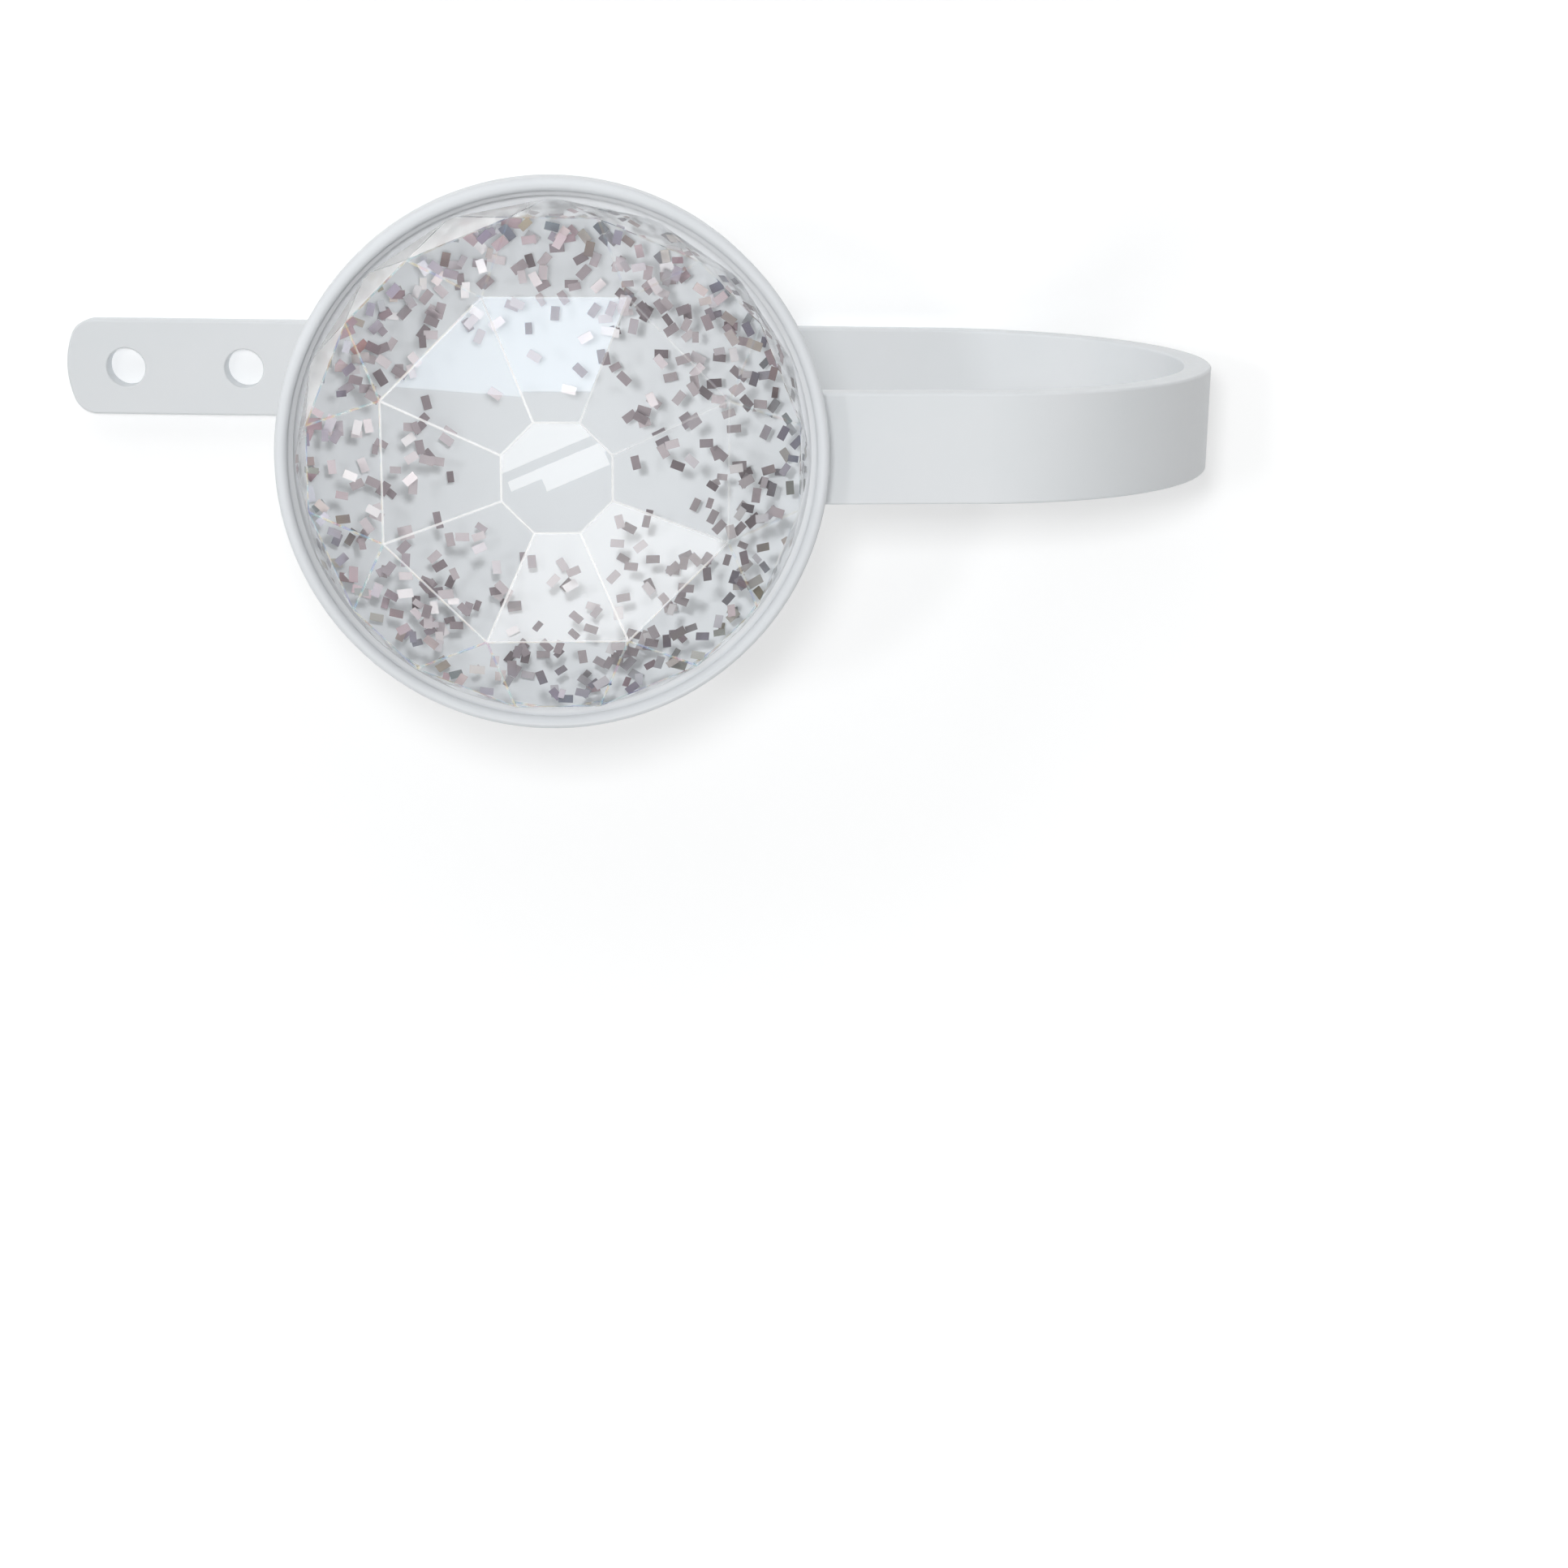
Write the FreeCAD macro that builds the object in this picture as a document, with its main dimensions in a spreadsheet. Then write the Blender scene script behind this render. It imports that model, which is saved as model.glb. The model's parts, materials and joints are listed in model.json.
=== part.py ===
import FreeCAD, Part
import Sketcher
import math
import os
import random

# Curtain holdback: a flat bar bent into a U, one arm screwed to the wall, the other carrying a knob.
# The knob is a shallow dish with a rolled rim that holds a faceted clear crystal full of glitter.
# +X runs from the mounting tab to the bend, +Z is up and the wall is the plane Y = 0.
# The object stands out from the wall towards -Y. The origin is midway between the two screw holes.
os.makedirs("parts", exist_ok=True)
doc = FreeCAD.newDocument("holdback")

# Driving dimensions, in millimetres and degrees
sheet = doc.addObject("Spreadsheet::Sheet", "dims")
dimensions = [
    ("bar_height", 16, "width of the flat bar, upright on the wall"),
    ("bar_thickness", 4.2, "thickness of the flat bar with its coat"),
    ("edge_round", 0.45, "rounding of the bar's long edges"),
    ("rear_run", 147, "straight length on the wall, from the tab's end to the bend"),
    ("bend_radius", 41, "outer radius of the bend"),
    ("bend_angle", 175.2, "how far the bend turns"),
    ("front_run", 62.6, "straight length from the bend to the knob's centre"),
    ("front_tail", 10, "straight length past the knob's centre"),
    ("end_bow", 15, "radius of the bowed end of each arm"),
    ("end_corner", 4, "radius of the corners of each arm's end"),
    ("wall_hole", 6.5, "diameter of the two wall screw holes"),
    ("wall_hole_inset", 10, "tab's end to the first wall screw hole"),
    ("wall_hole_spacing", 20, "distance between the wall screw holes"),
    ("hole_break", 0.3, "rounding of the mouths of the holes"),
    ("dish_width", 76.4, "outer diameter of the dish"),
    ("dish_depth", 10, "back of the dish to the crest of its rim"),
    ("dish_wall", 2.4, "thickness of the dish's side, up to the ledge under the bead"),
    ("ledge_rise", 7.4, "dish's back to the inner edge of the sloping ledge"),
    ("dish_floor", 4, "thickness of the dish's floor, which is tapped from the back for the knob screw"),
    ("tap_skin", 0.8, "what is left of the floor in front of the tapped hole"),
    ("dish_corner", 2.6, "outer radius between the dish's floor and its side"),
    ("dish_hollow", 1.2, "inner radius between the dish's floor and its side"),
    ("rim_bead", 1.8, "diameter of the bead round the rim"),
    ("bead_foot", 45, "how far below its innermost point the bead runs into the ledge"),
    ("crystal_gap", 0.4, "from the dish's inner side to the corners of the crystal's widest ring"),
    ("table_share", 0.226, "the flat octagonal face's corner radius, as a share of the widest ring's"),
    ("table_height", 19.6, "dish's floor to the flat octagonal face"),
    ("crown_share", 0.712, "corner radius of the octagon under the main facets, as such a share"),
    ("crown_height", 15.2, "dish's floor to that octagon"),
    ("shoulder_share", 0.958, "corner radius of the sixteen-sided shoulder, as such a share"),
    ("shoulder_height", 11.6, "dish's floor to the shoulder"),
    ("shoulder_half", 9.9, "half the angle that each shoulder side over a main facet spans"),
    ("girdle_height", 5, "dish's floor to the girdle, the widest ring"),
    ("girdle_half", 1.2, "half the angle that each short girdle side spans"),
    ("back_share", 0.966, "corner radius of the crystal's flat back, as a share of the widest ring's"),
    ("screw_diameter", 5, "knob screw's thread"),
    ("screw_clearance", 0.4, "hole in the bar, wider than the thread by this"),
    ("thread_clearance", 0.1, "tapped hole in the dish, wider than the thread by this"),
    ("screw_short", 0.4, "how far the knob screw stops short of the tapped hole's end"),
    ("head_diameter", 9.5, "knob screw's pan head"),
    ("head_height", 3.2, "height of the pan head"),
    ("head_round", 1.3, "rounding of the pan head"),
    ("cross_width", 1.1, "width of each slot of the cross recess"),
    ("cross_length", 5, "length of each slot of the cross recess"),
    ("cross_depth", 1.8, "depth of the cross recess"),
    ("flake_length", 1.9, "length of a glitter flake"),
    ("flake_width", 1.15, "width of a glitter flake"),
    ("flake_thickness", 0.14, "thickness of a glitter flake"),
    ("flake_count", 216, "how many flakes the crystal holds"),
    ("flake_layers", 9, "how many levels the flakes lie on"),
    ("flake_low", 1.6, "dish's floor to the lowest level of flakes"),
    ("flake_high", 12.8, "dish's floor to the highest level of flakes"),
    ("flake_core", 20.7, "radius of the middle, inside which flakes grow sparser"),
    ("flake_sparse", 0.12, "share of the full density of flakes that is left at the very middle"),
    ("flake_lean", 9, "most that a flake leans out of its level"),
    ("flake_cover", 1.6, "least resin between a flake's centre and the crystal's side"),
]
for row, (alias, value, meaning) in enumerate(dimensions, start=1):
    sheet.set("A%d" % row, alias)
    sheet.set("B%d" % row, str(value))
    sheet.set("C%d" % row, meaning)
    sheet.setAlias("B%d" % row, alias)
doc.recompute()

main_facets = 8
flake_seed = 7
most_tries = 4000
# Starting value of a sketch dimension that a formula sets at once
any_size = 1
# Two lengths or heights this near are the same
edge_match = 1e-4


def dim(alias):
    """Value of one driving dimension."""
    return float(getattr(sheet, alias))


# Formulas that several pieces share, in terms of the driving dimensions
tab_end = "(-(dims.wall_hole_inset + dims.wall_hole_spacing / 2))"
splay = "((180 - dims.bend_angle) * 1 deg)"
bend_x = "(%s + dims.rear_run)" % tab_end
knob_x = "(%s + dims.bend_radius * sin%s - dims.front_run * cos%s)" % (bend_x, splay, splay)
knob_reach = "(dims.bend_radius * (1 + cos%s) + dims.front_run * sin%s)" % (splay, splay)
knob_placement = (
    "create(<<placement>>; create(<<vector>>; %s; -%s; 0); create(<<rotation>>; %s; 0; 90))"
    % (knob_x, knob_reach, splay)
)


def origin_plane(body, role):
    """One of the body's own origin planes or axes, found by its role."""
    return next(f for f in body.Origin.OriginFeatures if f.Role == role)


def new_body(name):
    body = doc.addObject("PartDesign::Body", name)
    body.Label = name
    return body


def new_sketch(body, name, role):
    """An empty sketch on one of the body's origin planes."""
    sketch = body.newObject("Sketcher::SketchObject", name)
    sketch.AttachmentSupport = [(origin_plane(body, role), "")]
    sketch.MapMode = "FlatFace"
    return sketch


def size(sketch, constraint, formula):
    """Adds a dimension to the sketch and ties it to a formula."""
    index = sketch.addConstraint(constraint)
    sketch.setExpression("Constraints[%d]" % index, formula)
    return index


def line(sketch, start, end):
    return sketch.addGeometry(
        Part.LineSegment(FreeCAD.Vector(*start, 0), FreeCAD.Vector(*end, 0)), False
    )


def arc(sketch, centre, radius, first, last):
    """An arc, anticlockwise from the first to the last angle, in degrees."""
    circle = Part.Circle(FreeCAD.Vector(*centre, 0), FreeCAD.Vector(0, 0, 1), radius)
    return sketch.addGeometry(
        Part.ArcOfCircle(circle, math.radians(first), math.radians(last)), False
    )


def join(sketch, pairs, kind="Coincident"):
    """Joins (curve, end) pairs, where an end is 1 for the start and 2 for the finish."""
    for first, first_end, second, second_end in pairs:
        sketch.addConstraint(Sketcher.Constraint(kind, first, first_end, second, second_end))


def symmetric(feature, formula):
    """Gives a pad or pocket its length, half to each side of its sketch."""
    feature.SideType = "Symmetric"
    feature.setExpression("Length", formula)


def edges_where(shape, test):
    """Names of the edges that pass the test."""
    return ["Edge%d" % (i + 1) for i, edge in enumerate(shape.Edges) if test(edge)]


def bar_plan(body):
    """The bent strip seen from above: two arms, joined by the bend."""
    plan = new_sketch(body, "bar_plan", "XY_Plane")
    radius = dim("bend_radius")
    thick = dim("bar_thickness")
    start = -(dim("wall_hole_inset") + dim("wall_hole_spacing") / 2)
    turn = start + dim("rear_run")
    tilt = math.radians(180 - dim("bend_angle"))
    arm = dim("front_run") + dim("front_tail")
    across = (math.sin(tilt), -math.cos(tilt))
    along = (-math.cos(tilt), -math.sin(tilt))

    def front(reach, run):
        x = turn + reach * across[0] + run * along[0]
        return (x, -radius + reach * across[1] + run * along[1])

    low_angle = -90 + math.degrees(tilt)
    rear_outer = line(plan, (start, 0), (turn, 0))
    bend_outer = arc(plan, (turn, -radius), radius, low_angle, 90)
    front_outer = line(plan, front(radius, 0), front(radius, arm))
    front_end = line(plan, front(radius, arm), front(radius - thick, arm))
    front_inner = line(plan, front(radius - thick, arm), front(radius - thick, 0))
    bend_inner = arc(plan, (turn, -radius), radius - thick, low_angle, 90)
    rear_inner = line(plan, (turn, -thick), (start, -thick))
    rear_end = line(plan, (start, -thick), (start, 0))
    tangents = [
        (rear_outer, 2, bend_outer, 2),
        (bend_outer, 1, front_outer, 1),
        (front_inner, 2, bend_inner, 1),
        (bend_inner, 2, rear_inner, 1),
    ]
    corners = [
        (front_outer, 2, front_end, 1),
        (front_end, 2, front_inner, 1),
        (rear_inner, 2, rear_end, 1),
        (rear_end, 2, rear_outer, 1),
        (bend_outer, 3, bend_inner, 3),
    ]
    join(plan, tangents, "Tangent")
    join(plan, corners)
    for level in (rear_outer, rear_inner):
        plan.addConstraint(Sketcher.Constraint("Horizontal", level))
    plan.addConstraint(Sketcher.Constraint("Vertical", rear_end))
    plan.addConstraint(Sketcher.Constraint("Perpendicular", front_outer, front_end))
    plan.addConstraint(Sketcher.Constraint("Parallel", front_outer, front_inner))
    plan.addConstraint(Sketcher.Constraint("PointOnObject", rear_outer, 1, -1))
    turned = math.radians(-dim("bend_angle"))
    inner_formula = "dims.bend_radius - dims.bar_thickness"
    size(plan, Sketcher.Constraint("DistanceX", -1, 1, rear_outer, 1, start), tab_end)
    size(plan, Sketcher.Constraint("DistanceX", rear_outer, 1, rear_outer, 2, 1.0), "dims.rear_run")
    size(plan, Sketcher.Constraint("Radius", bend_outer, radius), "dims.bend_radius")
    size(plan, Sketcher.Constraint("Radius", bend_inner, radius - thick), inner_formula)
    size(plan, Sketcher.Constraint("Distance", front_outer, arm), "dims.front_run + dims.front_tail")
    size(plan, Sketcher.Constraint("Angle", front_outer, turned), "-dims.bend_angle * 1 deg")
    return plan


def end_trim(body, name, along_formula, reach_formula, turn_formula):
    """Cuts one end of the bar to a bowed end with a tighter arc at each corner.
    The formulas place the end: how far along X, how far out from the wall, and its turn."""
    sketch = new_sketch(body, name + "_outline", "XZ_Plane")
    half = dim("bar_height") / 2
    bow = dim("end_bow")
    corner = dim("end_corner")
    corner_x = bow - math.sqrt((bow - corner) ** 2 - (half - corner) ** 2)
    swing = math.degrees(math.atan2(half - corner, bow - corner_x))
    high_right = line(sketch, (corner_x, half), (corner_x, 2 * half))
    high = line(sketch, (corner_x, 2 * half), (-half, 2 * half))
    left = line(sketch, (-half, 2 * half), (-half, -2 * half))
    low = line(sketch, (-half, -2 * half), (corner_x, -2 * half))
    low_right = line(sketch, (corner_x, -2 * half), (corner_x, -half))
    low_arc = arc(sketch, (corner_x, corner - half), corner, 180 + swing, 270)
    bow_arc = arc(sketch, (bow, 0), bow, 180 - swing, 180 + swing)
    high_arc = arc(sketch, (corner_x, half - corner), corner, 90, 180 - swing)
    corners = [
        (high_right, 2, high, 1),
        (high, 2, left, 1),
        (left, 2, low, 1),
        (low, 2, low_right, 1),
        (low_right, 2, low_arc, 2),
        (high_arc, 1, high_right, 1),
    ]
    join(sketch, corners)
    join(sketch, [(low_arc, 1, bow_arc, 2), (bow_arc, 1, high_arc, 2)], "Tangent")
    for upright in (high_right, left, low_right):
        sketch.addConstraint(Sketcher.Constraint("Vertical", upright))
    for level in (high, low):
        sketch.addConstraint(Sketcher.Constraint("Horizontal", level))
    sketch.addConstraint(Sketcher.Constraint("PointOnObject", bow_arc, 3, -1))
    sketch.addConstraint(Sketcher.Constraint("Vertical", low_arc, 2, low_arc, 3))
    sketch.addConstraint(Sketcher.Constraint("Vertical", high_arc, 1, high_arc, 3))
    half_height = "dims.bar_height / 2"
    size(sketch, Sketcher.Constraint("Radius", bow_arc, bow), "dims.end_bow")
    size(sketch, Sketcher.Constraint("Radius", low_arc, corner), "dims.end_corner")
    size(sketch, Sketcher.Constraint("Radius", high_arc, corner), "dims.end_corner")
    size(sketch, Sketcher.Constraint("DistanceX", -1, 1, bow_arc, 3, bow), "dims.end_bow")
    size(sketch, Sketcher.Constraint("DistanceY", -1, 1, high_right, 1, half), half_height)
    size(sketch, Sketcher.Constraint("DistanceY", low_right, 2, -1, 1, half), half_height)
    size(sketch, Sketcher.Constraint("DistanceY", -1, 1, high, 2, 2 * half), "dims.bar_height")
    size(sketch, Sketcher.Constraint("DistanceY", low, 1, -1, 1, 2 * half), "dims.bar_height")
    size(sketch, Sketcher.Constraint("DistanceX", left, 1, -1, 1, half), half_height)
    sketch.setExpression("AttachmentOffset", outward_plane(along_formula, reach_formula, turn_formula))
    trim = body.newObject("PartDesign::Pocket", name)
    trim.Profile = sketch
    symmetric(trim, "4 * dims.bar_thickness")


def outward_plane(along_formula, reach_formula, turn_formula):
    """Offset of a sketch from the wall plane, to a plane that faces out from one of the arms."""
    return "create(<<placement>>; create(<<vector>>; %s; 0; %s); create(<<rotation>>; 0; %s; 0))" % (
        along_formula,
        reach_formula,
        turn_formula,
    )


def drill(body, name, holes, along_formula, reach_formula, turn_formula):
    """Drills round holes through one arm. Each hole is (place along the arm, diameter) as formulas."""
    sketch = new_sketch(body, name + "_circles", "XZ_Plane")
    for place, diameter in holes:
        circle = Part.Circle(FreeCAD.Vector(0, 0, 0), FreeCAD.Vector(0, 0, 1), any_size)
        ring = sketch.addGeometry(circle, False)
        sketch.addConstraint(Sketcher.Constraint("PointOnObject", ring, 3, -1))
        size(sketch, Sketcher.Constraint("Diameter", ring, 2 * any_size), diameter)
        if place:
            size(sketch, Sketcher.Constraint("DistanceX", -1, 1, ring, 3, any_size), place)
        else:
            sketch.addConstraint(Sketcher.Constraint("PointOnObject", ring, 3, -2))
    sketch.setExpression("AttachmentOffset", outward_plane(along_formula, reach_formula, turn_formula))
    cut = body.newObject("PartDesign::Pocket", name)
    cut.Profile = sketch
    symmetric(cut, "4 * dims.bar_thickness")


def round_edges(body, name, test, formula):
    """Rounds every edge of the body so far that passes the test."""
    doc.recompute()
    base = body.Tip
    rounding = body.newObject("PartDesign::Fillet", name)
    rounding.Base = (base, edges_where(base.Shape, test))
    rounding.setExpression("Radius", formula)
    doc.recompute()


def bent_bar():
    """The flat bar: tab with two screw holes, wall arm, bend, front arm with the knob's hole."""
    body = new_body("bracket")
    plan = bar_plan(body)
    strip = body.newObject("PartDesign::Pad", "strip")
    strip.Profile = plan
    symmetric(strip, "dims.bar_height")
    end_trim(body, "tab_end_trim", tab_end, "0", "0")
    arm_length = "(dims.front_run + dims.front_tail)"
    end_x = "(%s + dims.bend_radius * sin%s - %s * cos%s)" % (bend_x, splay, arm_length, splay)
    end_reach = "(dims.bend_radius * (1 + cos%s) + %s * sin%s)" % (splay, arm_length, splay)
    end_trim(body, "front_end_trim", end_x, end_reach, splay)
    half_height = dim("bar_height") / 2

    def on_long_edge(edge):
        across_bar = abs(edge.Length - dim("bar_thickness")) < edge_match
        level = all(abs(abs(v.Z) - half_height) < edge_match for v in edge.Vertexes)
        return level and not across_bar

    round_edges(body, "long_edge_rounding", on_long_edge, "dims.edge_round")
    wall_holes = [
        ("dims.wall_hole_spacing / 2", "dims.wall_hole"),
        ("-dims.wall_hole_spacing / 2", "dims.wall_hole"),
    ]
    drill(body, "wall_holes", wall_holes, "0", "0", "0")
    knob_hole = [(None, "dims.screw_diameter + dims.screw_clearance")]
    drill(body, "knob_hole", knob_hole, knob_x, knob_reach, splay)

    def on_hole_mouth(edge):
        return isinstance(edge.Curve, Part.Circle) and len(edge.Vertexes) == 1

    round_edges(body, "hole_mouth_rounding", on_hole_mouth, "dims.hole_break")
    return body


def turned_piece(name, draw):
    """A body made by turning a half section about the knob's axis."""
    body = new_body(name)
    sketch = new_sketch(body, name + "_section", "XZ_Plane")
    draw(sketch)
    turning = body.newObject("PartDesign::Revolution", name + "_turning")
    turning.Profile = sketch
    turning.ReferenceAxis = (sketch, ["V_Axis"])
    turning.Angle = 360
    body.setExpression("Placement", knob_placement)
    return body


def place_point(sketch, curve, end, radius_formula, rise_formula, guess):
    """Ties one point of a half section to its radius and its distance from the bar's face."""
    size(sketch, Sketcher.Constraint("DistanceX", -1, 1, curve, end, guess[0]), radius_formula)
    if rise_formula == "0":
        sketch.addConstraint(Sketcher.Constraint("PointOnObject", curve, end, -1))
    else:
        size(sketch, Sketcher.Constraint("DistanceY", -1, 1, curve, end, guess[1]), rise_formula)


def dish_section(sketch):
    """Half section of the dish: floor with a blind tapped hole at the back, rounded corner, straight
    side, a bead for a rim and a sloping ledge inside it."""
    outer = dim("dish_width") / 2
    bore = (dim("screw_diameter") + dim("thread_clearance")) / 2
    corner = dim("dish_corner")
    hollow = dim("dish_hollow")
    floor = dim("dish_floor")
    tapped = floor - dim("tap_skin")
    inner = outer - dim("dish_wall")
    bead = dim("rim_bead") / 2
    bead_rise = dim("dish_depth") - bead
    foot = math.radians(dim("bead_foot"))
    foot_point = (outer - bead * (1 + math.cos(foot)), bead_rise - bead * math.sin(foot))
    ledge = dim("ledge_rise")
    back = line(sketch, (bore, 0), (outer - corner, 0))
    corner_arc = arc(sketch, (outer - corner, corner), corner, 270, 360)
    side = line(sketch, (outer, corner), (outer, bead_rise))
    bead_arc = arc(sketch, (outer - bead, bead_rise), bead, 0, 180 + dim("bead_foot"))
    slope = line(sketch, foot_point, (inner, ledge))
    inside = line(sketch, (inner, ledge), (inner, floor + hollow))
    hollow_arc = arc(sketch, (inner - hollow, floor + hollow), hollow, 270, 360)
    seat = line(sketch, (inner - hollow, floor), (0, floor))
    axis = line(sketch, (0, floor), (0, tapped))
    tap_end = line(sketch, (0, tapped), (bore, tapped))
    thread = line(sketch, (bore, tapped), (bore, 0))
    join(sketch, [(back, 2, corner_arc, 1), (corner_arc, 2, side, 1), (side, 2, bead_arc, 1)], "Tangent")
    corners = [
        (bead_arc, 2, slope, 1),
        (slope, 2, inside, 1),
        (seat, 2, axis, 1),
        (axis, 2, tap_end, 1),
        (tap_end, 2, thread, 1),
        (thread, 2, back, 1),
    ]
    join(sketch, corners)
    join(sketch, [(inside, 2, hollow_arc, 2), (hollow_arc, 1, seat, 1)], "Tangent")
    for level in (back, seat, tap_end):
        sketch.addConstraint(Sketcher.Constraint("Horizontal", level))
    for upright in (side, inside, thread):
        sketch.addConstraint(Sketcher.Constraint("Vertical", upright))
    sketch.addConstraint(Sketcher.Constraint("PointOnObject", axis, 1, -2))
    sketch.addConstraint(Sketcher.Constraint("PointOnObject", axis, 2, -2))
    bore_formula = "(dims.screw_diameter + dims.thread_clearance) / 2"
    place_point(sketch, thread, 2, bore_formula, "0", (bore, 0))
    size(sketch, Sketcher.Constraint("DistanceY", thread, 2, axis, 1, floor), "dims.dish_floor")
    tap_formula = "dims.dish_floor - dims.tap_skin"
    size(sketch, Sketcher.Constraint("DistanceY", thread, 2, thread, 1, tapped), tap_formula)
    size(sketch, Sketcher.Constraint("Radius", corner_arc, corner), "dims.dish_corner")
    size(sketch, Sketcher.Constraint("Radius", hollow_arc, hollow), "dims.dish_hollow")
    size(sketch, Sketcher.Constraint("Radius", bead_arc, bead), "dims.rim_bead / 2")
    size(sketch, Sketcher.Constraint("DistanceX", -1, 1, side, 1, outer), "dims.dish_width / 2")
    bead_formula = "dims.dish_depth - dims.rim_bead / 2"
    size(sketch, Sketcher.Constraint("DistanceY", -1, 1, side, 2, bead_rise), bead_formula)
    foot_formula = "dims.dish_depth - dims.rim_bead / 2 * (1 + sin(dims.bead_foot * 1 deg))"
    size(sketch, Sketcher.Constraint("DistanceY", -1, 1, slope, 1, foot_point[1]), foot_formula)
    inner_formula = "dims.dish_width / 2 - dims.dish_wall"
    place_point(sketch, inside, 1, inner_formula, "dims.ledge_rise", (inner, ledge))


def screw_section(sketch):
    """Half section of the knob screw: thread through the bar into the dish, pan head behind the bar."""
    shank = dim("screw_diameter") / 2
    tip = dim("dish_floor") - dim("tap_skin") - dim("screw_short")
    under = -dim("bar_thickness")
    head = dim("head_diameter") / 2
    crown = under - dim("head_height")
    soft = dim("head_round")
    top = line(sketch, (0, tip), (shank, tip))
    thread = line(sketch, (shank, tip), (shank, under))
    face = line(sketch, (shank, under), (head, under))
    rim = line(sketch, (head, under), (head, crown + soft))
    rim_arc = arc(sketch, (head - soft, crown + soft), soft, 270, 360)
    flat = line(sketch, (head - soft, crown), (0, crown))
    axis = line(sketch, (0, crown), (0, tip))
    corners = [
        (top, 2, thread, 1),
        (thread, 2, face, 1),
        (face, 2, rim, 1),
        (flat, 2, axis, 1),
        (axis, 2, top, 1),
    ]
    join(sketch, corners)
    join(sketch, [(rim, 2, rim_arc, 2), (rim_arc, 1, flat, 1)], "Tangent")
    for level in (top, face, flat):
        sketch.addConstraint(Sketcher.Constraint("Horizontal", level))
    for upright in (thread, rim):
        sketch.addConstraint(Sketcher.Constraint("Vertical", upright))
    sketch.addConstraint(Sketcher.Constraint("PointOnObject", axis, 1, -2))
    sketch.addConstraint(Sketcher.Constraint("PointOnObject", axis, 2, -2))
    tip_formula = "dims.dish_floor - dims.tap_skin - dims.screw_short"
    place_point(sketch, top, 2, "dims.screw_diameter / 2", tip_formula, (shank, tip))
    size(sketch, Sketcher.Constraint("DistanceY", thread, 2, -1, 1, -under), "dims.bar_thickness")
    size(sketch, Sketcher.Constraint("DistanceX", -1, 1, face, 2, head), "dims.head_diameter / 2")
    size(sketch, Sketcher.Constraint("Radius", rim_arc, soft), "dims.head_round")
    crown_formula = "dims.bar_thickness + dims.head_height"
    size(sketch, Sketcher.Constraint("DistanceY", axis, 1, -1, 1, -crown), crown_formula)


def knob_screw():
    """The screw that holds the knob, with a cross recess in its pan head."""
    body = turned_piece("knob_screw", screw_section)
    for name, wide, tall in (
        ("level_slot", "dims.cross_length", "dims.cross_width"),
        ("upright_slot", "dims.cross_width", "dims.cross_length"),
    ):
        sketch = new_sketch(body, name + "_outline", "XY_Plane")
        low_side = line(sketch, (-any_size, -any_size), (any_size, -any_size))
        right_side = line(sketch, (any_size, -any_size), (any_size, any_size))
        high_side = line(sketch, (any_size, any_size), (-any_size, any_size))
        left_side = line(sketch, (-any_size, any_size), (-any_size, -any_size))
        corners = [
            (low_side, 2, right_side, 1),
            (right_side, 2, high_side, 1),
            (high_side, 2, left_side, 1),
            (left_side, 2, low_side, 1),
        ]
        join(sketch, corners)
        for level in (low_side, high_side):
            sketch.addConstraint(Sketcher.Constraint("Horizontal", level))
        for upright in (right_side, left_side):
            sketch.addConstraint(Sketcher.Constraint("Vertical", upright))
        sketch.addConstraint(Sketcher.Constraint("Symmetric", low_side, 1, high_side, 1, -1, 1))
        side = 2 * any_size
        size(sketch, Sketcher.Constraint("DistanceX", low_side, 1, low_side, 2, side), wide)
        size(sketch, Sketcher.Constraint("DistanceY", right_side, 1, right_side, 2, side), tall)
        head_top = "-(dims.bar_thickness + dims.head_height)"
        sketch.setExpression(
            "AttachmentOffset",
            "create(<<placement>>; create(<<vector>>; 0; 0; %s); create(<<rotation>>; 0; 0; 0))"
            % head_top,
        )
        slot = body.newObject("PartDesign::Pocket", name)
        slot.Profile = sketch
        symmetric(slot, "2 * dims.cross_depth")
    return body


def ring_point(radius, rise, degrees):
    """A point of the knob, at an angle clockwise from the top."""
    turn = math.radians(degrees)
    return FreeCAD.Vector(radius * math.sin(turn), radius * math.cos(turn), rise)


def crystal_rings():
    """The crystal's rings from its back to its table: name, corner radius and distance from the
    dish's back. The widest ring follows the dish's inner side, and the others follow that ring."""
    widest = dim("dish_width") / 2 - dim("dish_wall") - dim("crystal_gap")
    floor = dim("dish_floor")
    return [
        ("back", widest * dim("back_share"), floor),
        ("girdle", widest, floor + dim("girdle_height")),
        ("shoulder", widest * dim("shoulder_share"), floor + dim("shoulder_height")),
        ("crown", widest * dim("crown_share"), floor + dim("crown_height")),
        ("table", widest * dim("table_share"), floor + dim("table_height")),
    ]


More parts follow.
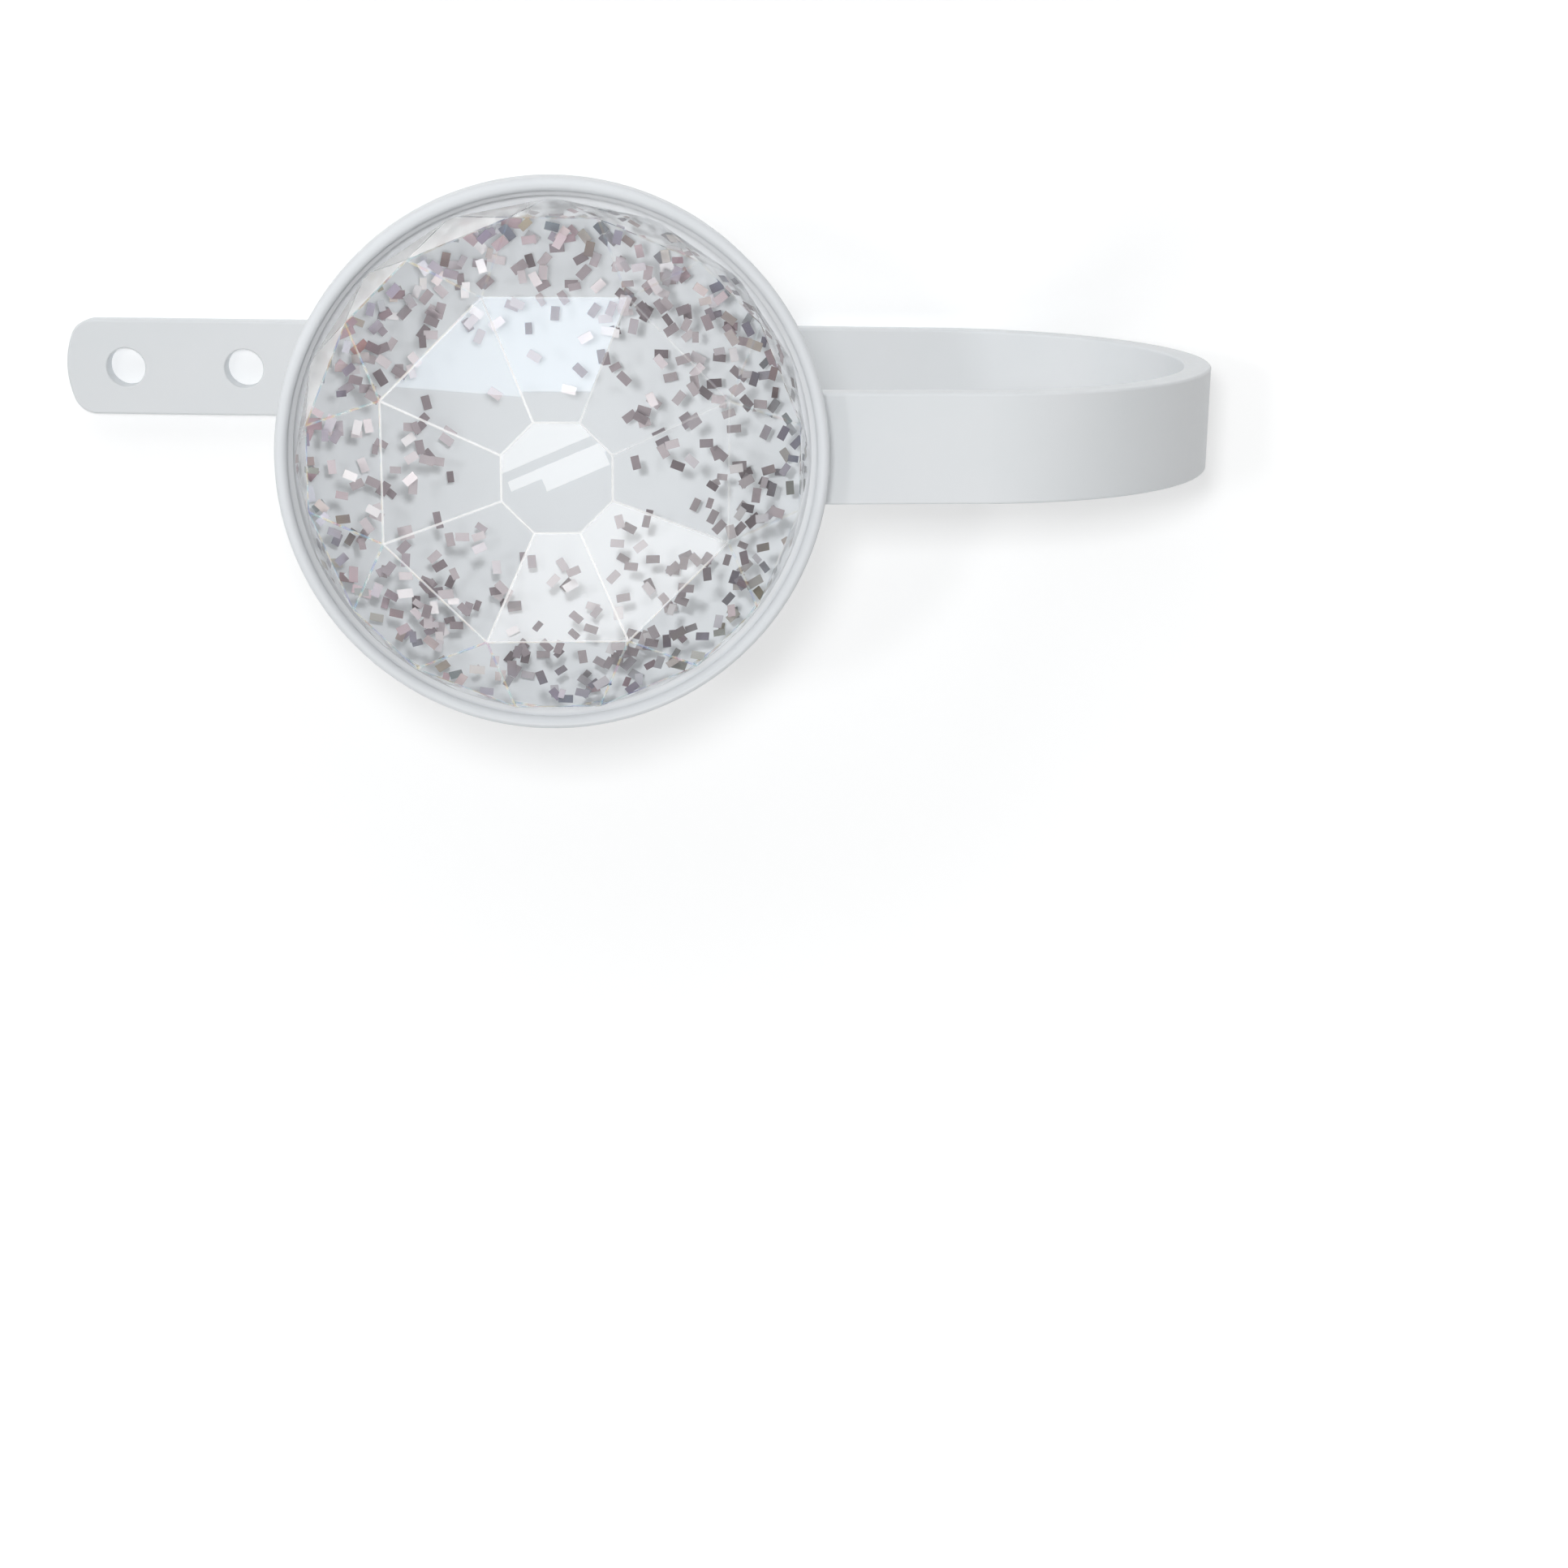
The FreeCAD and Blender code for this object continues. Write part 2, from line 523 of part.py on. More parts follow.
def crystal_blank():
    """The faceted crystal before the flakes are set in it.
    From the front: an octagonal table, eight main facets, a ring of eight long and eight three-cornered
    facets, a band of pointed facets round the shoulder, and a plain side that stands in the dish."""
    reach = {name: (radius, rise) for name, radius, rise in crystal_rings()}
    main_step = 360 / main_facets
    shoulder_count = 2 * main_facets
    girdle_count = 4 * main_facets
    table = [ring_point(*reach["table"], main_step * (i - 0.5)) for i in range(main_facets)]
    crown = [ring_point(*reach["crown"], main_step * (i - 0.5)) for i in range(main_facets)]
    shoulder = []
    for i in range(main_facets):
        for side in (-1, 1):
            turn = main_step * i + side * dim("shoulder_half")
            shoulder.append(ring_point(*reach["shoulder"], turn))
    girdle = []
    back = []
    for i in range(shoulder_count):
        for side in (-1, 1):
            turn = main_step / 2 * i + side * dim("girdle_half")
            girdle.append(ring_point(*reach["girdle"], turn))
            back.append(ring_point(*reach["back"], turn))
    facets = [table, back]
    for i in range(main_facets):
        after = (i + 1) % main_facets
        facets.append([table[i], table[after], crown[after], crown[i]])
        facets.append([crown[i], crown[after], shoulder[2 * i + 1], shoulder[2 * i]])
        facets.append([crown[after], shoulder[2 * after], shoulder[2 * i + 1]])
    for side in range(shoulder_count):
        after = (side + 1) % shoulder_count
        left, right = girdle[2 * side], girdle[2 * side + 1]
        facets.append([shoulder[side], shoulder[after], right, left])
        facets.append([shoulder[after], girdle[2 * after], right])
    for i in range(girdle_count):
        after = (i + 1) % girdle_count
        facets.append([girdle[i], girdle[after], back[after], back[i]])
    faces = [Part.Face(Part.makePolygon(corners + corners[:1])) for corners in facets]
    solid = Part.makeSolid(Part.makeShell(faces))
    if solid.Volume < 0:
        solid.reverse()
    return solid


def inner_radius(rise):
    """Radius that stays inside the crystal's sides at this distance from the dish's back."""
    half_side = {
        "back": 360 / main_facets / 4,
        "girdle": 360 / main_facets / 4,
        "shoulder": 360 / main_facets / 2 - dim("shoulder_half"),
        "crown": 360 / main_facets / 2,
        "table": 360 / main_facets / 2,
    }
    flats = [
        (height, radius * math.cos(math.radians(half_side[name])))
        for name, radius, height in crystal_rings()
    ]
    for (low, low_radius), (high, high_radius) in zip(flats, flats[1:]):
        if rise <= high:
            share = (rise - low) / (high - low)
            return low_radius + share * (high_radius - low_radius)
    return 0


def glitter():
    """Thin oblong flakes on a few levels, sparser in the middle, each turned at random.
    The draws are seeded, and no two flakes on a level come near enough to touch."""
    draw = random.Random(flake_seed)
    long_side = dim("flake_length")
    short_side = dim("flake_width")
    thick = dim("flake_thickness")
    apart = math.hypot(long_side, short_side) + thick
    levels = int(dim("flake_layers"))
    wanted = int(dim("flake_count") / levels)
    step = (dim("flake_high") - dim("flake_low")) / (levels - 1)
    free_lean = math.degrees(math.atan((step - 2 * thick) / 2 / long_side))
    most_lean = min(dim("flake_lean"), free_lean)
    sparse = dim("flake_sparse")
    blank_flake = (long_side, short_side, thick, FreeCAD.Vector(-long_side, -short_side, -thick) / 2)
    flakes = []
    for level in range(levels):
        rise = dim("dish_floor") + dim("flake_low") + step * level
        reach = inner_radius(rise) - dim("flake_cover")
        placed = []
        tries = 0
        while len(placed) < wanted and tries < most_tries:
            tries += 1
            radius = reach * math.sqrt(draw.random())
            turn = draw.uniform(0, 360)
            if draw.random() > sparse + (1 - sparse) * (radius / dim("flake_core")) ** 2:
                continue
            spot = ring_point(radius, rise, turn)
            if any((spot - other).Length < apart for other in placed):
                continue
            placed.append(spot)
            flake = Part.makeBox(*blank_flake)
            spin = FreeCAD.Rotation(FreeCAD.Vector(0, 0, 1), draw.uniform(0, 180))
            lean_axis = ring_point(1, 0, turn)
            lean = FreeCAD.Rotation(lean_axis, draw.uniform(-most_lean, most_lean))
            flake.Placement = FreeCAD.Placement(spot, lean.multiply(spin))
            flakes.append(flake)
    return Part.makeCompound(flakes)


def knob_feature(name, shape):
    """A shape worked out in the knob's own frame, put in its place on the bar."""
    feature = doc.addObject("Part::Feature", name)
    feature.Shape = shape
    feature.setExpression("Placement", knob_placement)
    return feature


bracket = bent_bar()
dish = turned_piece("dish", dish_section)
screw = knob_screw()
flakes = knob_feature("glitter_flakes", glitter())
flakes.Label = "glitter_flakes"
blank = knob_feature("crystal_blank", crystal_blank())
crystal = doc.addObject("Part::Cut", "crystal")
crystal.Label = "crystal"
crystal.Base = blank
crystal.Tool = flakes
doc.recompute()

for thing in doc.Objects:
    if "Invalid" in thing.State or "Error" in thing.State:
        raise RuntimeError("%s did not recompute: %s" % (thing.Label, thing.State))
for piece in (bracket, dish, screw, flakes, crystal):
    shape = piece.Shape
    if shape.isNull() or not shape.isValid():
        raise RuntimeError("%s has no valid shape" % piece.Label)
    shape.exportStep("parts/%s.step" % piece.Label)
    print("%-16s %4d solids %10.1f mm3" % (piece.Label, len(shape.Solids), shape.Volume))
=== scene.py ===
import json
import math
import random

import bpy
from mathutils import Euler, Matrix, Vector

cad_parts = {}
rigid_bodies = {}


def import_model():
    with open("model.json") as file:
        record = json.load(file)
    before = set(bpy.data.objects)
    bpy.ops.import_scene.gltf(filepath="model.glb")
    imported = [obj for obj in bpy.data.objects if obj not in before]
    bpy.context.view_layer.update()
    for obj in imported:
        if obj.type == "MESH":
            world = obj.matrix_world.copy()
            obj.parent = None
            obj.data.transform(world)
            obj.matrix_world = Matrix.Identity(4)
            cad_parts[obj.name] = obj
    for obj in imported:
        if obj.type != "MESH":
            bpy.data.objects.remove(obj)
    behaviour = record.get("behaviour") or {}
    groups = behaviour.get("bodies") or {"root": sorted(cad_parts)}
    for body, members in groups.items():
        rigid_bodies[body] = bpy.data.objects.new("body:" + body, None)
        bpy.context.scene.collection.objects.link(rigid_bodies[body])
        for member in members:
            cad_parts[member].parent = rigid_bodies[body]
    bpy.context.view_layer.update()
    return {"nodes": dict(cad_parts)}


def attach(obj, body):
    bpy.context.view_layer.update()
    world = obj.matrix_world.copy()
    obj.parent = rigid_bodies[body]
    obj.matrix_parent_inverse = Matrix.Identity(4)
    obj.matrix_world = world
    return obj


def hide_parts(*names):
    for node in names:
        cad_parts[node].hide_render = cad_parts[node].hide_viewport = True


print("holdback: clearing the scene and loading the frame")
bpy.ops.object.select_all(action="SELECT")
bpy.ops.object.delete()
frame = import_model()
bpy.ops.object.select_all(action="DESELECT")

mm = 0.001
joinGap = 0.001 * mm  # points closer than this are one

# Where the knob stands: the same bend and front arm as in the model of the bar
barShape = {
    "bendX": 127 * mm,
    "bendRadius": 41 * mm,
    "frontRun": 62.6 * mm,
    "splay": 4.8,  # degrees that the front arm opens from the wall
}
splay = math.radians(barShape["splay"])
knobAxis = Vector((math.sin(splay), -math.cos(splay), 0))  # out of the knob's face
knobSide = Vector((math.cos(splay), math.sin(splay), 0))
knobUp = Vector((0, 0, 1))
knobBack = Vector(
    (
        barShape["bendX"] + barShape["bendRadius"] * math.sin(splay) - barShape["frontRun"] * math.cos(splay),
        -barShape["bendRadius"] * (1 + math.cos(splay)) - barShape["frontRun"] * math.sin(splay),
        0,
    )
)
knobTurn = Matrix((knobSide, knobUp, knobAxis)).transposed()


def knobPoint(radius, rise, degrees):
    # a point of the knob, at an angle clockwise from the top and at a height above the bar's face
    turn = math.radians(degrees)
    return knobBack + knobAxis * rise + (knobSide * math.sin(turn) + knobUp * math.cos(turn)) * radius


def linear(hexText):
    # sRGB hex to the linear colour that shaders use
    parts = [int(hexText[i : i + 2], 16) / 255 for i in (0, 2, 4)]
    return tuple(c / 12.92 if c <= 0.04045 else ((c + 0.055) / 1.055) ** 2.4 for c in parts) + (1.0,)


def addNode(tree, kind, settings=None, links=None):
    # adds one node, sets its attributes or sockets, and links its inputs
    node = tree.nodes.new(kind)
    for name, value in (settings or {}).items():
        if isinstance(name, str) and hasattr(node, name):
            setattr(node, name, value)
        else:
            node.inputs[name].default_value = value
    for name, source in (links or {}).items():
        tree.links.new(source, node.inputs[name])
    return node


def newMaterial(name):
    material = bpy.data.materials.new(name)
    material.use_nodes = True
    material.node_tree.nodes.clear()
    return material, material.node_tree


def fillRamp(ramp, stops):
    elements = ramp.color_ramp.elements
    while len(elements) > 1:
        elements.remove(elements[-1])
    elements[0].position, elements[0].color = stops[0][0], linear(stops[0][1])
    for place, colour in stops[1:]:
        elements.new(place).color = linear(colour)


def radiusFromKnob(tree, place):
    # how far a point is from the knob's axis
    fromKnob = addNode(tree, "ShaderNodeVectorMath", {"operation": "SUBTRACT", 1: knobBack}, {0: place})
    across = addNode(
        tree,
        "ShaderNodeVectorMath",
        {"operation": "CROSS_PRODUCT", 1: knobAxis},
        {0: fromKnob.outputs["Vector"]},
    )
    return addNode(
        tree, "ShaderNodeVectorMath", {"operation": "LENGTH"}, {0: across.outputs["Vector"]}
    ).outputs["Value"]


def alongFromKnob(tree, place, axis):
    # how far a point is from the middle of the knob in one direction
    fromKnob = addNode(tree, "ShaderNodeVectorMath", {"operation": "SUBTRACT", 1: knobBack}, {0: place})
    along = addNode(
        tree,
        "ShaderNodeVectorMath",
        {"operation": "DOT_PRODUCT", 1: axis},
        {0: fromKnob.outputs["Vector"]},
    )
    return along.outputs["Value"]


def giveMaterial(piece, material):
    if not piece.material_slots:
        piece.data.materials.append(material)
    for slot in piece.material_slots:
        slot.material = material


print("holdback: mixing the materials")

barCoat = {
    "colour": "E4E7EA",
    "toneLow": "E1E5E8",  # where the coat lies thicker
    "tonePatch": 14 * mm,
    "floor": None,  # a second colour, inside a radius round the knob's axis
    "ior": 1.5,
    "roughness": 0.42,
    "smoother": 0.05,  # how far the orange peel takes the roughness down
    "rougher": 0.06,  # and up
    "orangePeel": 1.1 * mm,  # wavelength of the coat's soft waviness
    "peelDepth": 0.011 * mm,
    "grain": 0.18 * mm,
    "grainDepth": 0.0024 * mm,
    "coat": 0.0,
    "coatRoughness": 0.2,
}
noiseSpan = (0.3, 0.7)  # nearly all of a noise pattern lies between these


def powderCoat(name, look):
    # white polyester powder coat, sprayed and baked on steel: a soft satin shine that waves very
    # slightly, a fine grain, and a touch of uneven tone where the coat lies thicker
    material, tree = newMaterial(name)
    place = addNode(tree, "ShaderNodeTexCoord").outputs["Object"]
    peel = addNode(
        tree,
        "ShaderNodeTexNoise",
        {"Scale": 1 / look["orangePeel"], "Detail": 1.5, "Roughness": 0.4},
        {"Vector": place},
    )
    grain = addNode(
        tree,
        "ShaderNodeTexNoise",
        {"Scale": 1 / look["grain"], "Detail": 2.0, "Roughness": 0.6},
        {"Vector": place},
    )
    tone = addNode(
        tree,
        "ShaderNodeTexNoise",
        {"Scale": 1 / look["tonePatch"], "Detail": 3.0},
        {"Vector": place},
    )
    shades = addNode(tree, "ShaderNodeValToRGB", {}, {"Fac": tone.outputs["Fac"]})
    fillRamp(shades, [(noiseSpan[0], look["toneLow"]), (noiseSpan[1], look["colour"])])
    shine = addNode(
        tree,
        "ShaderNodeMapRange",
        {
            "From Min": noiseSpan[0],
            "From Max": noiseSpan[1],
            "To Min": look["roughness"] - look["smoother"],
            "To Max": look["roughness"] + look["rougher"],
        },
        {"Value": peel.outputs["Fac"]},
    )
    wave = addNode(
        tree,
        "ShaderNodeBump",
        {"Distance": look["peelDepth"], "Strength": 1.0},
        {"Height": peel.outputs["Fac"]},
    )
    fine = addNode(
        tree,
        "ShaderNodeBump",
        {"Distance": look["grainDepth"], "Strength": 1.0},
        {"Height": grain.outputs["Fac"], "Normal": wave.outputs["Normal"]},
    )
    colour = shades.outputs["Color"]
    # painted light: the coat inside the rim is lighter, for the light that falls through the crystal
    if look["floor"]:
        inside = addNode(
            tree,
            "ShaderNodeMapRange",
            {"From Min": look["floorRadius"], "From Max": look["floorEnd"], "To Min": 1.0, "To Max": 0.0},
            {"Value": radiusFromKnob(tree, place)},
        )
        colour = addNode(
            tree,
            "ShaderNodeMix",
            {"data_type": "RGBA", 7: linear(look["floor"])},
            {"Factor": inside.outputs["Result"], 6: shades.outputs["Color"]},
        ).outputs[2]
    coat = addNode(
        tree,
        "ShaderNodeBsdfPrincipled",
        {"IOR": look["ior"], "Coat Weight": look["coat"], "Coat Roughness": look["coatRoughness"]},
        {"Base Color": colour, "Roughness": shine.outputs["Result"], "Normal": fine.outputs["Normal"]},
    )
    addNode(tree, "ShaderNodeOutputMaterial", {}, {"Surface": coat.outputs["BSDF"]})
    return material


dishCoat = dict(
    barCoat,
    colour="E0E4E8",
    toneLow="DDE1E5",
    floor="EEF1F4",  # inside the rim the coat is painted whiter: painted light for the light that falls through the crystal
    floorRadius=36.2 * mm,
    floorEnd=36.5 * mm,
    roughness=0.38,
    coat=0.1,
    grainDepth=0.004 * mm,
)
barFinish = powderCoat("powder_coat_white", barCoat)
dishFinish = powderCoat("powder_coat_white_satin", dishCoat)

resin = {
    "colour": "FCFEFF",
    "ior": 1.49,
    "flat": (0.93, 0.955),  # how squarely the large facets face forward, against the steeper ones
    "girdle": (0.4, 0.6),  # and the narrow facets round the girdle, against all others
    "edgeFrost": 0.22,  # roughness of the whitened edges, whose white is a painted highlight
    "edgeClear": 0.3,  # and how much light they let through
    "edgeShare": 0.85,  # how much of the painted highlight the edges of the large facets have
    "edgeShareOut": 0.4,  # and the edges of the steeper facets round them
    "girdleShare": 0.2,  # the girdle's facets are ground, and less clear; part of their white is painted highlight
    "girdleHighlight": 0.85,  # painted highlight, most of all at the upper left, where they show as pale slivers
    "highlightSide": (knobUp - knobSide).normalized(),
    "highlightFrom": 25 * mm,
    "highlightFull": 29 * mm,
    "edgeHighlightFaint": 0.3,  # the painted highlight on the edges is fainter at the upper right
    "faintHighlightSide": (knobUp + knobSide).normalized(),
    "faintHighlightFrom": 5 * mm,
    "faintHighlightFull": 10.5 * mm,
    "fringes": [  # painted rainbow fringes on the steep edges, painted light for the colours that prisms split light into
        (0.30, "7F78D6"),
        (0.38, "86B6F0"),
        (0.44, "9BE0DC"),
        (0.50, "FFFFFF"),
        (0.56, "F3E695"),
        (0.62, "F0A58A"),
        (0.70, "C58BC4"),
    ],
    "fringeLength": 2.2 * mm,
    "facetPass": 0.97,  # share of the light that falls through the flat facets on the front
    "sidePass": 0.8,  # and through the steeper ones round them, which turn more of it away
    "leftPass": 0.93,  # the facets throw the light over to the right, so less falls through on the left
    "leftEnd": -26 * mm,
    "rightEnd": 20 * mm,
}


def clearResin(name, look, onEdges):
    # cast acrylic, polished to clear facets: water clear, with crisp reflections on each facet. The
    # edges are painted whitish, a painted highlight for the light that rounded edges catch. Light on
    # its way to what lies inside passes straight through, less of it where the facets are steep
    material, tree = newMaterial(name)
    body = addNode(
        tree,
        "ShaderNodeBsdfPrincipled",
        {
            "Base Color": linear(look["colour"]),
            "Roughness": 0.0,
            "IOR": look["ior"],
            "Transmission Weight": 1.0,
        },
    )
    normal = addNode(tree, "ShaderNodeNewGeometry").outputs["True Normal"]
    facing = addNode(tree, "ShaderNodeVectorMath", {"operation": "DOT_PRODUCT", 1: knobAxis}, {0: normal})
    flatness = addNode(tree, "ShaderNodeMath", {"operation": "ABSOLUTE"}, {0: facing.outputs["Value"]})

    def fromFlatness(steep, flat):
        ends = {"From Min": look["flat"][0], "From Max": look["flat"][1], "To Min": steep, "To Max": flat}
        return addNode(
            tree,
            "ShaderNodeMapRange",
            ends,
            {"Value": flatness.outputs["Value"]},
        ).outputs["Result"]

    def onGirdle(share):
        ends = {
            "From Min": look["girdle"][0],
            "From Max": look["girdle"][1],
            "To Min": share,
            "To Max": 0.0,
        }
        return addNode(
            tree,
            "ShaderNodeMapRange",
            ends,
            {"Value": flatness.outputs["Value"]},
        ).outputs["Result"]

    place = addNode(tree, "ShaderNodeTexCoord").outputs["Object"]
    # painted light: rainbow fringes, in place of the light that the steep edges split
    bands = addNode(
        tree,
        "ShaderNodeTexNoise",
        {"Scale": 1 / look["fringeLength"], "Detail": 1.0},
        {"Vector": place},
    )
    fringe = addNode(tree, "ShaderNodeValToRGB", {}, {"Fac": bands.outputs["Fac"]})
    fillRamp(fringe, look["fringes"])
    plain = addNode(
        tree, "ShaderNodeMath", {"operation": "MAXIMUM"}, {0: fromFlatness(0.0, 1.0), 1: onGirdle(1.0)}
    )
    white = addNode(
        tree,
        "ShaderNodeMix",
        {"data_type": "RGBA", 7: linear("FFFFFF")},
        {"Factor": plain.outputs["Value"], 6: fringe.outputs["Color"]},
    )
    # painted highlight: a whitish, rough, half-clear surface for the edges and the girdle's facets
    paintedHighlight = addNode(
        tree,
        "ShaderNodeBsdfPrincipled",
        {"Roughness": look["edgeFrost"], "IOR": look["ior"], "Transmission Weight": look["edgeClear"]},
        {"Base Color": white.outputs[2]},
    )
    if onEdges:
        # painted highlight on the edges, fainter towards the upper right
        where, side = fromFlatness(look["edgeShareOut"], look["edgeShare"]), look["faintHighlightSide"]
        ends = {
            "From Min": look["faintHighlightFrom"],
            "From Max": look["faintHighlightFull"],
            "To Min": 1.0,
            "To Max": look["edgeHighlightFaint"],
        }
    else:
        # painted highlight on the girdle's facets, growing towards the upper left
        where, side = onGirdle(1.0), look["highlightSide"]
        ends = {
            "From Min": look["highlightFrom"],
            "From Max": look["highlightFull"],
            "To Min": look["girdleShare"],
            "To Max": look["girdleHighlight"],
        }
    highlightBySide = addNode(tree, "ShaderNodeMapRange", ends, {"Value": alongFromKnob(tree, place, side)})
    share = addNode(
        tree, "ShaderNodeMath", {"operation": "MULTIPLY"}, {0: where, 1: highlightBySide.outputs["Result"]}
    ).outputs["Value"]
    surface = addNode(
        tree,
        "ShaderNodeMixShader",
        {},
        {0: share, 1: body.outputs["BSDF"], 2: paintedHighlight.outputs["BSDF"]},
    )
    front = fromFlatness(look["sidePass"], look["facetPass"])
    passed = addNode(
        tree,
        "ShaderNodeMath",
        {"operation": "MAXIMUM"},
        {0: onGirdle(look["facetPass"]), 1: front},
    )
    sideways = addNode(
        tree,
        "ShaderNodeMapRange",
        {
            "From Min": look["leftEnd"],
            "From Max": look["rightEnd"],
            "To Min": look["leftPass"],
            "To Max": 1.0,
        },
        {"Value": alongFromKnob(tree, place, knobSide)},
    )
    light = addNode(
        tree,
        "ShaderNodeMath",
        {"operation": "MULTIPLY"},
        {0: passed.outputs["Value"], 1: sideways.outputs["Result"]},
    )
    through = addNode(tree, "ShaderNodeBsdfTransparent", {}, {"Color": light.outputs["Value"]})
    rays = addNode(tree, "ShaderNodeLightPath")
    lighting = addNode(
        tree,
        "ShaderNodeMath",
        {"operation": "MAXIMUM"},
        {0: rays.outputs["Is Shadow Ray"], 1: rays.outputs["Is Diffuse Ray"]},
    )
    both = addNode(
        tree,
        "ShaderNodeMixShader",
        {},
        {0: lighting.outputs["Value"], 1: surface.outputs["Shader"], 2: through.outputs["BSDF"]},
    )
    addNode(tree, "ShaderNodeOutputMaterial", {}, {"Surface": both.outputs["Shader"]})
    return material


resinFinish = clearResin("clear_cast_acrylic", resin, False)
edgeHighlightFinish = clearResin("acrylic_edge_painted_highlight", resin, True)
# the cast is glued down, so its back is no mirror and bends no light
backFinish = clearResin("bonded_acrylic_back", dict(resin, ior=1.0), False)

film = {
    "stops": [
        (0.00, "7A7075"),
        (0.10, "8C8287"),
        (0.28, "A1979C"),
        (0.48, "B2A9AD"),
        (0.64, "C4BCC0"),
        (0.80, "DAD3D6"),
        (0.92, "F0ECEE"),
        (0.994, "B98A84"),
    ],
    "hues": [
        (0.00, "8F86C6"),
        (0.22, "8FB4DC"),
        (0.44, "8CCFCB"),
        (0.60, "D8D08A"),
        (0.78, "D99AAE"),
    ],
    "hueFrom": 27 * mm,  # further out than this the flakes are painted in soft colours, painted light for split light
    "hueFull": 33 * mm,
    "hueShare": 0.24,
    # to the lower right the flakes are painted darker, a painted reflection of a darker part of the room
    "darkSide": knobSide * 0.9 - knobUp * 0.45,
    "darkFrom": -5 * mm,
    "darkFull": 25 * mm,
    "darkTone": 0.58,
    "metallic": 0.45,
    "roughness": 0.38,
    "creases": 0.9 * mm,
    "creaseDepth": 0.01 * mm,
    "creaseStrength": 0.4,
    "hueShuffle": 17.3,  # makes a flake's hue independent of its tone
}


def glitterFilm(name, look):
    # aluminised polyester film, cut into oblong flakes: a dull metal sheen. Every flake's tone, from
    # dark mauve to almost white, is painted at random: a painted reflection of how each catches the light
    material, tree = newMaterial(name)
    own = addNode(tree, "ShaderNodeNewGeometry").outputs["Random Per Island"]
    shades = addNode(tree, "ShaderNodeValToRGB", {}, {"Fac": own})
    shades.color_ramp.interpolation = "CONSTANT"
    fillRamp(shades, look["stops"])
    again = addNode(tree, "ShaderNodeMath", {"operation": "MULTIPLY", 1: look["hueShuffle"]}, {0: own})
    other = addNode(tree, "ShaderNodeMath", {"operation": "FRACT"}, {0: again.outputs["Value"]})
    hues = addNode(tree, "ShaderNodeValToRGB", {}, {"Fac": other.outputs["Value"]})
    fillRamp(hues, look["hues"])
    place = addNode(tree, "ShaderNodeTexCoord").outputs["Object"]
    # painted light: soft hues on the flakes far from the axis
    share = addNode(
        tree,
        "ShaderNodeMapRange",
        {"From Min": look["hueFrom"], "From Max": look["hueFull"], "To Max": look["hueShare"]},
        {"Value": radiusFromKnob(tree, place)},
    )
    tint = addNode(
        tree,
        "ShaderNodeMix",
        {"data_type": "RGBA"},
        {"Factor": share.outputs["Result"], 6: shades.outputs["Color"], 7: hues.outputs["Color"]},
    )
    # painted reflection: the flakes darker towards the lower right
    tone = addNode(
        tree,
        "ShaderNodeMapRange",
        {
            "From Min": look["darkFrom"],
            "From Max": look["darkFull"],
            "To Min": 1.0,
            "To Max": look["darkTone"],
        },
        {"Value": alongFromKnob(tree, place, look["darkSide"])},
    )
    shaded = addNode(
        tree,
        "ShaderNodeVectorMath",
        {"operation": "SCALE"},
        {0: tint.outputs[2], "Scale": tone.outputs["Result"]},
    )
    creases = addNode(
        tree,
        "ShaderNodeTexNoise",
        {"Scale": 1 / look["creases"], "Detail": 1.0},
        {"Vector": place},
    )
    bent = addNode(
        tree,
        "ShaderNodeBump",
        {"Distance": look["creaseDepth"], "Strength": look["creaseStrength"]},
        {"Height": creases.outputs["Fac"]},
    )
    sheen = addNode(
        tree,
        "ShaderNodeBsdfPrincipled",
        {"Metallic": look["metallic"], "Roughness": look["roughness"]},
        {"Base Color": shaded.outputs["Vector"], "Normal": bent.outputs["Normal"]},
    )
    addNode(tree, "ShaderNodeOutputMaterial", {}, {"Surface": sheen.outputs["BSDF"]})
    return material


filmFinish = glitterFilm("aluminised_polyester_film", film)

zinc = {
    "colour": "C3C6C6",
    "cloudy": "A9AEB2",
    "clouds": 2.2 * mm,
    "cloudSpan": (0.35, 0.65),
    "roughness": 0.34,
    "smoother": 0.08,
    "rougher": 0.12,
    "marks": 0.09 * mm,
    "markDepth": 0.002 * mm,
}


def zincPlate(name, look):
    # bright zinc on steel: grey metal with a faint blue cast, cloudy patches and fine forming marks
    material, tree = newMaterial(name)
    place = addNode(tree, "ShaderNodeTexCoord").outputs["Object"]
    clouds = addNode(
        tree,
        "ShaderNodeTexNoise",
        {"Scale": 1 / look["clouds"], "Detail": 4.0},
        {"Vector": place},
    )
    shades = addNode(tree, "ShaderNodeValToRGB", {}, {"Fac": clouds.outputs["Fac"]})
    fillRamp(shades, [(look["cloudSpan"][0], look["cloudy"]), (look["cloudSpan"][1], look["colour"])])
    marks = addNode(
        tree,
        "ShaderNodeTexNoise",
        {"Scale": 1 / look["marks"], "Detail": 2.0},
        {"Vector": place},
    )
    shine = addNode(
        tree,
        "ShaderNodeMapRange",
        {"To Min": look["roughness"] - look["smoother"], "To Max": look["roughness"] + look["rougher"]},
        {"Value": clouds.outputs["Fac"]},
    )
    bump = addNode(
        tree,
        "ShaderNodeBump",
        {"Distance": look["markDepth"], "Strength": 1.0},
        {"Height": marks.outputs["Fac"]},
    )
    metal = addNode(
        tree,
        "ShaderNodeBsdfPrincipled",
        {"Metallic": 1.0},
        {
            "Base Color": shades.outputs["Color"],
            "Roughness": shine.outputs["Result"],
            "Normal": bump.outputs["Normal"],
        },
    )
    addNode(tree, "ShaderNodeOutputMaterial", {}, {"Surface": metal.outputs["BSDF"]})
    return material


zincFinish = zincPlate("bright_zinc", zinc)

